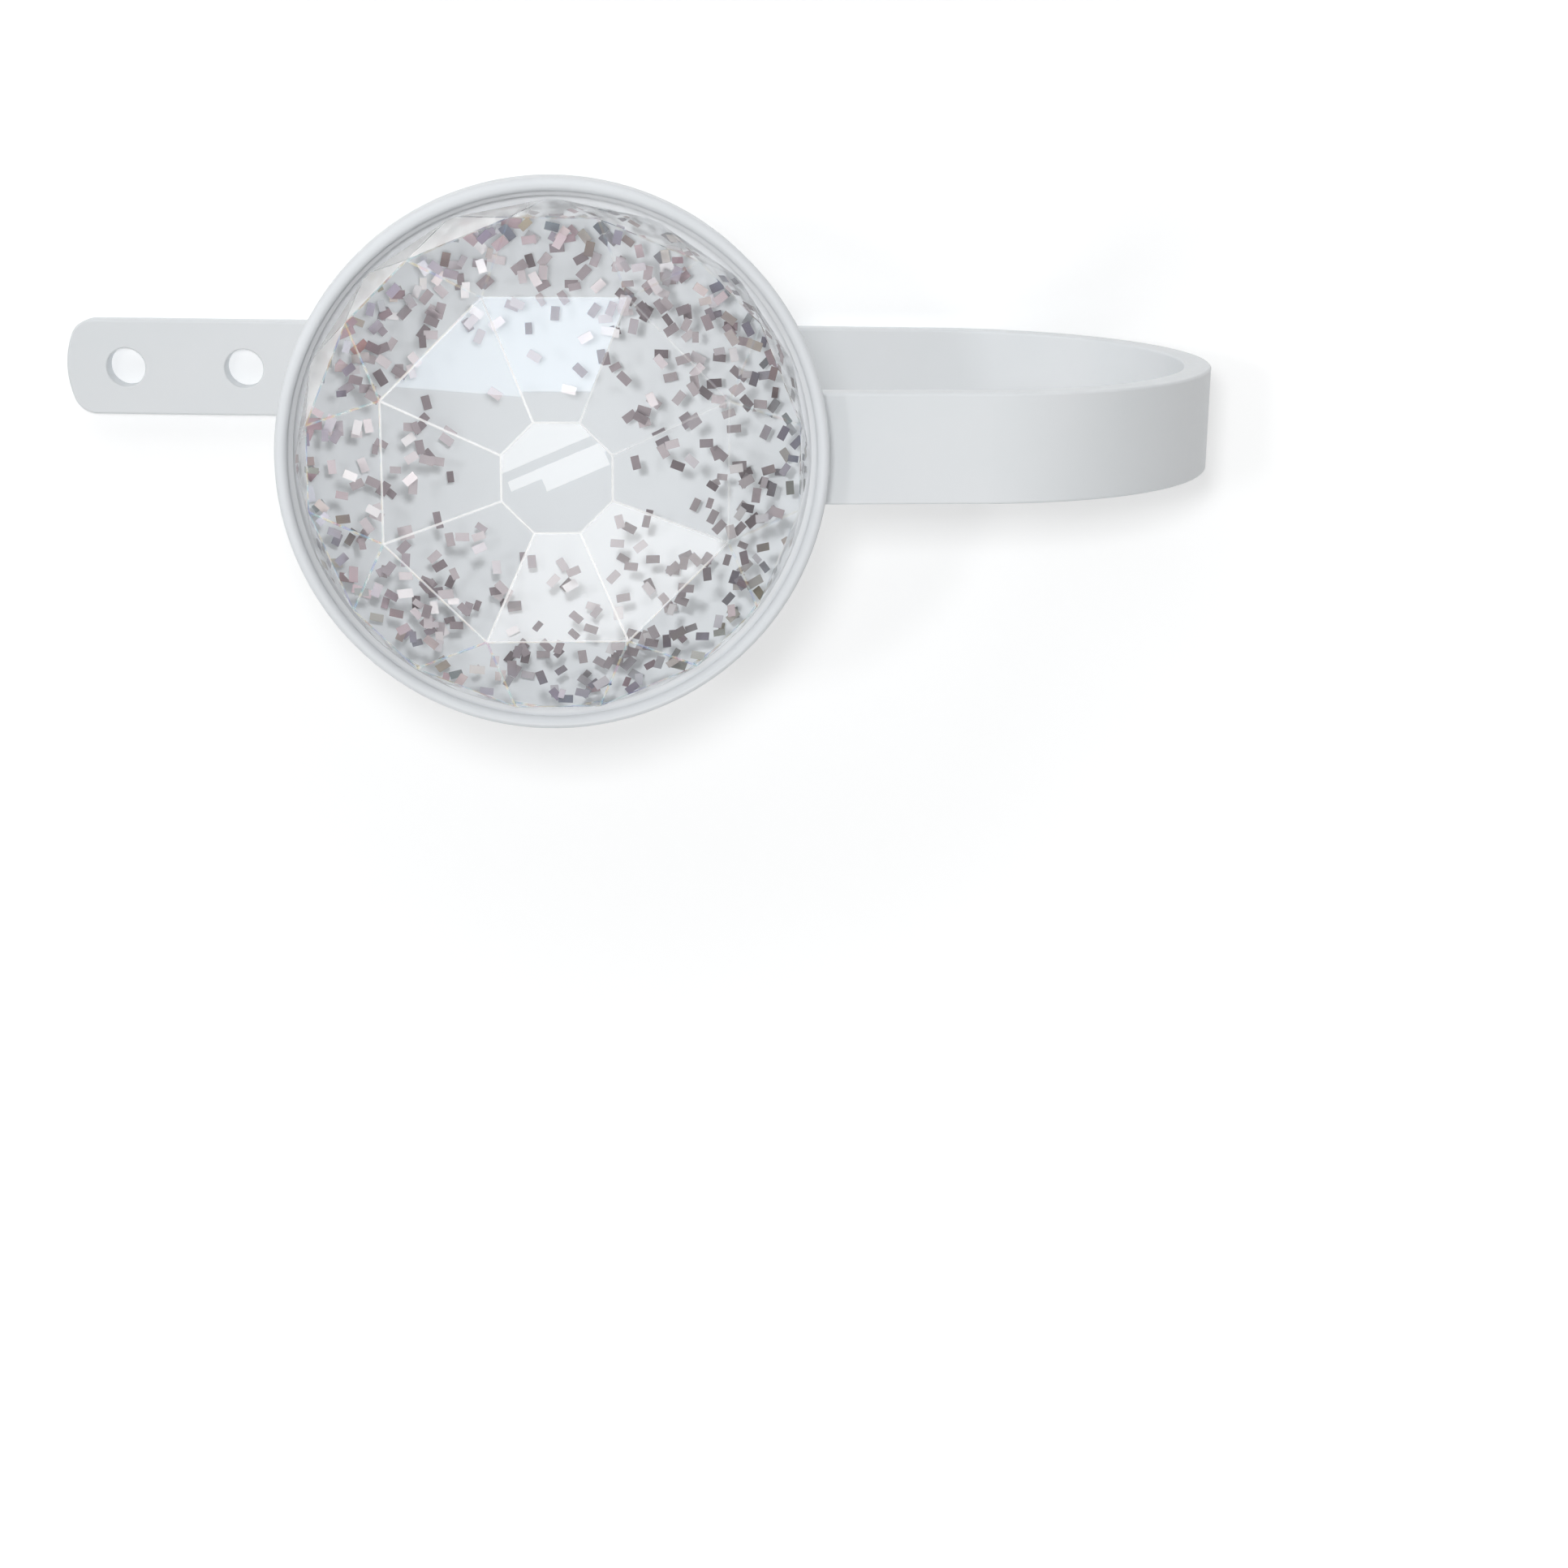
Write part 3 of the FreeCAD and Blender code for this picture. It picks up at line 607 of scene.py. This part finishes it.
print("holdback: finishing the bar, the dish, the screw and the flakes")
giveMaterial(frame["nodes"]["bracket"], barFinish)
giveMaterial(frame["nodes"]["dish"], dishFinish)
giveMaterial(frame["nodes"]["knob_screw"], zincFinish)


def mergedCopy(node, name):
    # a copy of a part of the model, with its loose triangles joined up, so each flake is one island
    piece = node.copy()
    piece.data = node.data.copy()
    piece.name = name
    bpy.context.collection.objects.link(piece)
    bpy.ops.object.select_all(action="DESELECT")
    piece.select_set(True)
    bpy.context.view_layer.objects.active = piece
    bpy.ops.object.mode_set(mode="EDIT")
    bpy.ops.mesh.select_all(action="SELECT")
    bpy.ops.mesh.remove_doubles(threshold=joinGap)
    bpy.ops.mesh.customdata_custom_splitnormals_clear()
    bpy.ops.object.mode_set(mode="OBJECT")
    bpy.ops.object.shade_flat()
    piece.select_set(False)
    return piece


def clearMiddle(piece, reach):
    # takes out the few flakes behind the table of the crystal, where there are none to see
    bpy.context.view_layer.objects.active = piece
    bpy.ops.object.mode_set(mode="EDIT")
    bpy.ops.mesh.select_all(action="DESELECT")
    bpy.ops.object.mode_set(mode="OBJECT")
    for vertex in piece.data.vertices:
        vertex.select = (vertex.co - knobBack).cross(knobAxis).length < reach
    bpy.ops.object.mode_set(mode="EDIT")
    bpy.ops.mesh.select_linked()
    bpy.ops.mesh.delete(type="VERT")
    bpy.ops.object.mode_set(mode="OBJECT")


bareMiddle = 8.6 * mm  # radius round the knob's axis with no flakes in it
flakes = mergedCopy(frame["nodes"]["glitter_flakes"], "glitter")
clearMiddle(flakes, bareMiddle)
giveMaterial(flakes, filmFinish)
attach(flakes, "root")
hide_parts("glitter_flakes")

print("holdback: cutting the crystal")
crystal = {
    "facets": 8,
    "widest": 35.4 * mm,
    "backRise": 4.05 * mm,  # a hair above the dish's floor
    "girdleRise": 9.0 * mm,
    "shoulderRise": 15.6 * mm,
    "crownRise": 19.2 * mm,
    "tableRise": 23.6 * mm,
    "backShare": 0.966,
    "shoulderShare": 0.958,
    "crownShare": 0.712,
    "tableShare": 0.226,
    "shoulderHalf": 9.9,  # degrees from the middle of a facet to its corners on the shoulder
    "girdleHalf": 1.2,  # and of the narrow facets on the girdle
    "edgeWidth": 0.32 * mm,  # the polished-off edge between two facets
    "edgeSegments": 2,
    "edgeAngle": 4,  # degrees between two facets, from which their edge is polished off
    "blankShare": 1.05,  # the round blank is this much wider than the crystal
    "blankSides": 64,
    "backFacing": -0.99,  # the back alone looks so straight backwards
}


def cutFacet(corners):
    # slices the blank along the plane of the facet and closes the cut
    normal = (corners[1] - corners[0]).cross(corners[2] - corners[0]).normalized()
    middle = knobBack + knobAxis * crystal["girdleRise"]
    if normal.dot(corners[0] - middle) < 0:
        normal = -normal
    bpy.ops.mesh.select_all(action="SELECT")
    bpy.ops.mesh.bisect(plane_co=corners[0], plane_no=normal, use_fill=True, clear_outer=True, threshold=1e-8)


def makeCrystal(shape):
    step = 360 / shape["facets"]
    depth = shape["tableRise"] - shape["backRise"]
    bpy.ops.mesh.primitive_cylinder_add(
        vertices=shape["blankSides"],
        radius=shape["widest"] * shape["blankShare"],
        depth=depth,
        location=knobBack + knobAxis * (shape["backRise"] + depth / 2),
        rotation=knobTurn.to_euler(),
    )
    gem = bpy.context.object
    gem.name = "clear_crystal"
    for finish in (resinFinish, edgeHighlightFinish, backFinish):
        gem.data.materials.append(finish)
    edgeSlot, backSlot = 1, 2
    bpy.ops.object.transform_apply(location=True, rotation=True, scale=True)

    def ring(share, rise, degrees):
        return knobPoint(shape["widest"] * share, rise, degrees)

    bpy.ops.object.mode_set(mode="EDIT")
    for i in range(shape["facets"]):
        low, high = step * (i - 0.5), step * (i + 0.5)
        crownLow = ring(shape["crownShare"], shape["crownRise"], low)
        crownHigh = ring(shape["crownShare"], shape["crownRise"], high)
        nearLow = ring(shape["shoulderShare"], shape["shoulderRise"], step * i - shape["shoulderHalf"])
        nearHigh = ring(shape["shoulderShare"], shape["shoulderRise"], step * i + shape["shoulderHalf"])
        nextLow = ring(shape["shoulderShare"], shape["shoulderRise"], step * (i + 1) - shape["shoulderHalf"])
        tableHigh = ring(shape["tableShare"], shape["tableRise"], high)
        cutFacet([crownLow, crownHigh, tableHigh])
        cutFacet([crownLow, crownHigh, nearHigh])
        cutFacet([crownHigh, nextLow, nearHigh])
        for low2, high2, centre in ((nearLow, nearHigh, step * i), (nearHigh, nextLow, step * (i + 0.5))):
            girdleLow = ring(1, shape["girdleRise"], centre - shape["girdleHalf"])
            girdleHigh = ring(1, shape["girdleRise"], centre + shape["girdleHalf"])
            nextGirdle = ring(1, shape["girdleRise"], centre + step / 2 - shape["girdleHalf"])
            backHigh = ring(shape["backShare"], shape["backRise"], centre + shape["girdleHalf"])
            cutFacet([low2, high2, girdleHigh])
            cutFacet([high2, nextGirdle, girdleHigh])
            cutFacet([girdleLow, girdleHigh, backHigh])
            cutFacet([girdleHigh, nextGirdle, backHigh])
    bpy.ops.mesh.select_all(action="SELECT")
    bpy.ops.mesh.remove_doubles(threshold=joinGap)
    bpy.ops.mesh.normals_make_consistent(inside=False)
    bpy.ops.object.mode_set(mode="OBJECT")
    for face in gem.data.polygons:
        if face.normal.dot(knobAxis) < shape["backFacing"]:
            face.material_index = backSlot
    bpy.ops.object.shade_smooth()
    soften = gem.modifiers.new("edges", "BEVEL")
    soften.offset_type = "WIDTH"
    soften.width = shape["edgeWidth"]
    soften.segments = shape["edgeSegments"]
    soften.limit_method = "ANGLE"
    soften.angle_limit = math.radians(shape["edgeAngle"])
    soften.harden_normals = True
    soften.material = edgeSlot
    bpy.ops.object.modifier_apply(modifier=soften.name)
    return gem


gem = makeCrystal(crystal)
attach(gem, "root")
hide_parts("crystal")

print("holdback: sprinkling the glitter")
glitter = {
    "long": 1.85 * mm,
    "short": 1.1 * mm,
    "thick": 0.06 * mm,
    "lowest": 4.9 * mm,
    "levelStep": 1.4 * mm,
    "levels": 9,
    "perLevel": 34,
    "sparse": 0.005,  # share of the flakes that stay in the middle
    "fullAt": 31 * mm,  # out here they all stay
    "fade": 3.4,
    "shineShare": 0.4,  # of the flakes behind the four large facets that mirror the windows
    "shineTurn": 67.5,  # degrees from the top back to where the first of them starts
    "lean": 12,  # degrees, at most
    "cover": 1.4 * mm,  # clear resin outside the outermost flakes
    "grow": (0.75, 1.2),
    "apart": 1.05,  # least distance between two flakes of a level, in flake lengths
    "seed": 23,
}


def clearRadius(rise):
    # how far out a flake may lie at this height and stay inside the crystal
    rings = [
        (crystal["backRise"], crystal["backShare"]),
        (crystal["girdleRise"], 1),
        (crystal["shoulderRise"], crystal["shoulderShare"]),
        (crystal["crownRise"], crystal["crownShare"]),
        (crystal["tableRise"], crystal["tableShare"]),
    ]
    flat = math.cos(math.radians(180 / crystal["facets"] / 2))
    for (low, lowShare), (high, highShare) in zip(rings, rings[1:]):
        if rise <= high:
            share = lowShare + (highShare - lowShare) * (rise - low) / (high - low)
            return crystal["widest"] * share * flat
    return 0


def makeGlitter(shape):
    draw = random.Random(shape["seed"])
    bpy.ops.object.select_all(action="DESELECT")
    bpy.ops.mesh.primitive_cube_add(size=1, location=(0, 0, 0))
    pattern = bpy.context.object
    pattern.scale = (shape["long"], shape["short"], shape["thick"])
    bpy.ops.object.transform_apply(location=False, rotation=False, scale=True)
    sprinkled = []
    for level in range(shape["levels"]):
        rise = shape["lowest"] + shape["levelStep"] * level
        reach = clearRadius(rise) - shape["cover"]
        placed = []
        while len(placed) < shape["perLevel"]:
            radius = reach * math.sqrt(draw.random())
            turn = draw.uniform(0, 360)
            density = shape["sparse"] + (1 - shape["sparse"]) * (radius / shape["fullAt"]) ** shape["fade"]
            if draw.random() > density:
                continue
            # the top facet and the one to its left, and the two across from them
            shining = (turn + shape["shineTurn"]) % 180 < 90
            large = radius < crystal["widest"] * crystal["crownShare"]
            if large and shining and draw.random() > shape["shineShare"]:
                continue
            spot = knobPoint(radius, rise, turn)
            if any((spot - other).length < shape["long"] * shape["apart"] for other in placed):
                continue
            placed.append(spot)
            flake = pattern.copy()
            flake.data = pattern.data.copy()
            bpy.context.collection.objects.link(flake)
            grow = draw.uniform(*shape["grow"])
            spin = Matrix.Rotation(draw.uniform(0, math.pi), 4, "Z")
            lean = Matrix.Rotation(
                math.radians(draw.uniform(-shape["lean"], shape["lean"])),
                4,
                Vector((math.cos(turn), math.sin(turn), 0)),
            )
            size = Matrix.Diagonal((grow, grow, 1, 1))
            flake.matrix_world = Matrix.Translation(spot) @ knobTurn.to_4x4() @ lean @ spin @ size
            sprinkled.append(flake)
    bpy.data.objects.remove(pattern)
    for flake in sprinkled:
        flake.select_set(True)
    bpy.context.view_layer.objects.active = sprinkled[0]
    bpy.ops.object.join()
    sprinkle = bpy.context.object
    sprinkle.name = "glitter_fill"
    bpy.ops.object.transform_apply(location=True, rotation=True, scale=True)
    return sprinkle


fill = makeGlitter(glitter)
giveMaterial(fill, filmFinish)
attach(fill, "root")

print("holdback: setting the wall, the light and the camera")
studio = {
    "wall": "F4F5F6",
    "wallSize": 6,
    "wallPlace": (0.07, 0.4 * mm, 0),
    "wallLift": 0.225,
    "wallLiftFar": 0.42,  # away from the object, where its shadow has ended
    "wallLiftEnd": 1.0,  # and at the wall's far ends
    "shadowFull": 0.08,  # distance from the aim up to which the wall holds the object's shadow
    "shadowEnd": 0.2,  # and from which it holds none
    "wallEnd": 1.2,
    "wallUnder": 0.33,  # light on what lies against the wall, for views from behind
    "wallUnderFull": 0.8 * mm,
    "wallUnderEnd": 9 * mm,  # where the room's own light comes in behind the bend
    "worldDiffuse": 0.342,
    "worldTint": "FFFEFC",
    "worldLeft": 0.22,  # how much more of the light comes from the left than from the right
    "aim": Vector((0.07, -0.05, 0.0)),
    "knobAim": 20 * mm,  # from the knob's back along its axis
}


def seenRays(tree):
    # 1 where the eye, a mirror or clear resin looks, and 0 for the light that falls on the object
    rays = addNode(tree, "ShaderNodeLightPath")
    first = addNode(
        tree,
        "ShaderNodeMath",
        {"operation": "MAXIMUM"},
        {0: rays.outputs["Is Camera Ray"], 1: rays.outputs["Is Glossy Ray"]},
    )
    seen = addNode(
        tree,
        "ShaderNodeMath",
        {"operation": "MAXIMUM"},
        {0: first.outputs["Value"], 1: rays.outputs["Is Transmission Ray"]},
    )
    return seen.outputs["Value"]


def makeWall(look):
    # a plain pale wall right behind the bar, which hides nothing from behind. It glows a little to
    # the eye, so that it is white, and under the bar, so that the bar's back isn't black
    bpy.ops.object.select_all(action="DESELECT")
    bpy.ops.mesh.primitive_plane_add(
        size=look["wallSize"], location=look["wallPlace"], rotation=(math.radians(90), 0, 0)
    )
    wall = bpy.context.object
    wall.name = "wall"
    bpy.ops.object.transform_apply(location=True, rotation=True, scale=True)
    material, tree = newMaterial("painted_wall")
    paint = addNode(tree, "ShaderNodeBsdfDiffuse", {"Color": linear(look["wall"])})
    place = addNode(tree, "ShaderNodeTexCoord").outputs["Object"]
    away = addNode(tree, "ShaderNodeVectorMath", {"operation": "DISTANCE", 1: look["aim"]}, {0: place})
    level = addNode(
        tree,
        "ShaderNodeMapRange",
        {
            "interpolation_type": "SMOOTHSTEP",
            "From Min": look["shadowFull"],
            "From Max": look["shadowEnd"],
            "To Min": look["wallLift"],
            "To Max": look["wallLiftFar"],
        },
        {"Value": away.outputs["Value"]},
    )
    end = addNode(
        tree,
        "ShaderNodeMapRange",
        {
            "From Min": look["shadowEnd"],
            "From Max": look["wallEnd"],
            "To Max": look["wallLiftEnd"] - look["wallLiftFar"],
        },
        {"Value": away.outputs["Value"]},
    )
    levels = addNode(
        tree, "ShaderNodeMath", {"operation": "ADD"}, {0: level.outputs["Result"], 1: end.outputs["Result"]}
    )
    lift = addNode(
        tree,
        "ShaderNodeMath",
        {"operation": "MULTIPLY"},
        {0: levels.outputs["Value"], 1: seenRays(tree)},
    )
    rays = addNode(tree, "ShaderNodeLightPath")
    near = addNode(
        tree,
        "ShaderNodeMapRange",
        {"From Min": look["wallUnderFull"], "From Max": look["wallUnderEnd"], "To Min": 1.0, "To Max": 0.0},
        {"Value": rays.outputs["Ray Length"]},
    )
    under = addNode(
        tree,
        "ShaderNodeMath",
        {"operation": "MULTIPLY"},
        {0: near.outputs["Result"], 1: rays.outputs["Is Diffuse Ray"]},
    )
    glowing = addNode(
        tree,
        "ShaderNodeMath",
        {"operation": "MULTIPLY_ADD", 1: look["wallUnder"]},
        {0: under.outputs["Value"], 2: lift.outputs["Value"]},
    )
    glow = addNode(
        tree,
        "ShaderNodeEmission",
        {"Color": linear("FFFFFF")},
        {"Strength": glowing.outputs["Value"]},
    )
    front = addNode(
        tree,
        "ShaderNodeAddShader",
        {},
        {0: paint.outputs["BSDF"], 1: glow.outputs["Emission"]},
    )
    back = addNode(tree, "ShaderNodeBsdfTransparent")
    side = addNode(tree, "ShaderNodeNewGeometry").outputs["Backfacing"]
    both = addNode(tree, "ShaderNodeMixShader", {}, {"Fac": side, 1: front.outputs[0], 2: back.outputs[0]})
    addNode(tree, "ShaderNodeOutputMaterial", {}, {"Surface": both.outputs["Shader"]})
    material.cycles.emission_sampling = "NONE"
    giveMaterial(wall, material)


def makeWorld(look):
    world = bpy.data.worlds.new("studio")
    bpy.context.scene.world = world
    world.use_nodes = True
    tree = world.node_tree
    tree.nodes.clear()
    towards = addNode(tree, "ShaderNodeTexCoord").outputs["Generated"]
    sideways = addNode(tree, "ShaderNodeSeparateXYZ", {}, {"Vector": towards})
    slant = addNode(
        tree,
        "ShaderNodeMapRange",
        {
            "From Min": -1.0,
            "From Max": 1.0,
            "To Min": look["worldDiffuse"] * (1 + look["worldLeft"]),
            "To Max": look["worldDiffuse"] * (1 - look["worldLeft"]),
        },
        {"Value": sideways.outputs["X"]},
    )
    strength = addNode(
        tree,
        "ShaderNodeMapRange",
        {"To Max": 1.0},
        {"Value": seenRays(tree), "To Min": slant.outputs["Result"]},
    )
    sky = addNode(
        tree,
        "ShaderNodeBackground",
        {"Color": linear(look["worldTint"])},
        {"Strength": strength.outputs["Result"]},
    )
    addNode(tree, "ShaderNodeOutputWorld", {}, {"Surface": sky.outputs["Background"]})


def direction(azimuth, elevation):
    # azimuth 0 is straight out from the wall, to the right is positive
    a, e = math.radians(azimuth), math.radians(elevation)
    return Vector((math.sin(a) * math.cos(e), -math.cos(a) * math.cos(e), math.sin(e)))


def addSoftbox(name, look):
    # a flat lamp; radiance 1 is the brightness of a white card, and a card only shows in reflections
    data = bpy.data.lights.new(name, "AREA")
    data.shape = "RECTANGLE"
    data.size, data.size_y = look["wide"] * look["distance"], look["high"] * look["distance"]
    data.energy = look["radiance"] * data.size * data.size_y * math.pi
    data.color = linear(look["tint"])[:3]
    lamp = bpy.data.objects.new(name, data)
    out = direction(look["azimuth"], look["elevation"])
    lamp.location = look["aim"] + out * look["distance"]
    spin = Euler((0, 0, math.radians(look["spin"]))).to_quaternion()
    lamp.rotation_euler = (out.to_track_quat("Z", "Y") @ spin).to_euler()
    lamp.visible_camera = False
    lamp.visible_diffuse = look["kind"] != "card"
    lamp.visible_glossy = look["kind"] != "glow"
    lamp.visible_transmission = look["kind"] != "glow"
    bpy.context.collection.objects.link(lamp)


knobMiddle = knobBack + knobAxis * studio["knobAim"]
softboxes = {  # wide and high are for a distance of 1
    "overhead_softbox": {
        "kind": "lamp", "azimuth": -8, "elevation": 62, "distance": 1.1, "wide": 1.2, "high": 0.65,
        "spin": 0, "radiance": 1.0, "tint": "FFFFFF", "aim": studio["aim"],
    },
    "front_softbox": {
        "kind": "glow", "azimuth": 1.1, "elevation": 11.5, "distance": 0.426, "wide": 0.08, "high": 0.08,
        "spin": 0, "radiance": 152, "tint": "FFFFFF", "aim": studio["aim"],
    },
    "key_softbox": {
        "kind": "glow", "azimuth": -18, "elevation": 8, "distance": 1.2, "wide": 0.065, "high": 0.065,
        "spin": 0, "radiance": 60, "tint": "FFFFFF", "aim": knobMiddle,
    },
    "left_softbox": {
        "kind": "lamp", "azimuth": -60, "elevation": 22, "distance": 1.2, "wide": 0.6, "high": 0.7,
        "spin": 0, "radiance": 0.7, "tint": "FFFFFF", "aim": studio["aim"],
    },
    "low_right_card": {
        "kind": "card", "azimuth": 17, "elevation": -38.5, "distance": 0.8, "wide": 0.65, "high": 0.325,
        "spin": 0, "radiance": 4.0, "tint": "FFFDFC", "aim": knobMiddle,
    },
    "top_card": {
        "kind": "card", "azimuth": 5.5, "elevation": 28.0, "distance": 1.0, "wide": 0.16, "high": 0.154,
        "spin": 0, "radiance": 5.4, "tint": "DAEEFF", "aim": knobMiddle,
    },
    "top_left_card": {
        "kind": "card", "azimuth": -19, "elevation": 18.2, "distance": 1.0, "wide": 0.16, "high": 0.15,
        "spin": 0, "radiance": 4.5, "tint": "DAEEFF", "aim": knobMiddle,
    },
    "low_softbox": {
        "kind": "glow", "azimuth": -10, "elevation": -48, "distance": 1.0, "wide": 0.8, "high": 0.5,
        "spin": 0, "radiance": 1.1, "tint": "FFFFFF", "aim": studio["aim"],
    },
    "window_card": {
        "kind": "card", "azimuth": 5.39, "elevation": -8.52, "distance": 1.0, "wide": 0.07, "high": 0.0175,
        "spin": 23, "radiance": 4.6, "tint": "FFFFFF", "aim": knobMiddle,
    },
    "window_middle_card": {
        "kind": "card", "azimuth": 5.90, "elevation": -9.31, "distance": 1.0, "wide": 0.053, "high": 0.0052,
        "spin": 23, "radiance": 4.6, "tint": "FFFFFF", "aim": knobMiddle,
    },
    "window_low_card": {
        "kind": "card", "azimuth": 6.40, "elevation": -9.47, "distance": 1.0, "wide": 0.034, "high": 0.0068,
        "spin": 23, "radiance": 4.6, "tint": "FFFFFF", "aim": knobMiddle,
    },
}

makeWall(studio)
makeWorld(studio)
for boxName, boxLook in softboxes.items():
    addSoftbox(boxName, boxLook)

viewpoint = {
    "place": (0.09333, -0.46671, 0.06098),
    "right": (0.9998, -0.0168, 0.0144),
    "up": (-0.0091, 0.2779, 0.9606),
    "lens": 61.96,
    "sensor": 36,
    "nearest": 0.01,
}


def makeCamera(look):
    data = bpy.data.cameras.new("camera")
    data.lens = look["lens"]
    data.sensor_width = look["sensor"]
    data.clip_start = look["nearest"]
    camera = bpy.data.objects.new("camera", data)
    bpy.context.collection.objects.link(camera)
    right, up = Vector(look["right"]).normalized(), Vector(look["up"])
    back = right.cross(up).normalized()
    up = back.cross(right)
    turn = Matrix((right, up, back)).transposed().to_4x4()
    camera.matrix_world = Matrix.Translation(look["place"]) @ turn
    bpy.context.scene.camera = camera


makeCamera(viewpoint)

scene = bpy.context.scene
scene.view_settings.view_transform = "Standard"
scene.cycles.max_bounces = 24
scene.cycles.glossy_bounces = 16
scene.cycles.transmission_bounces = 24
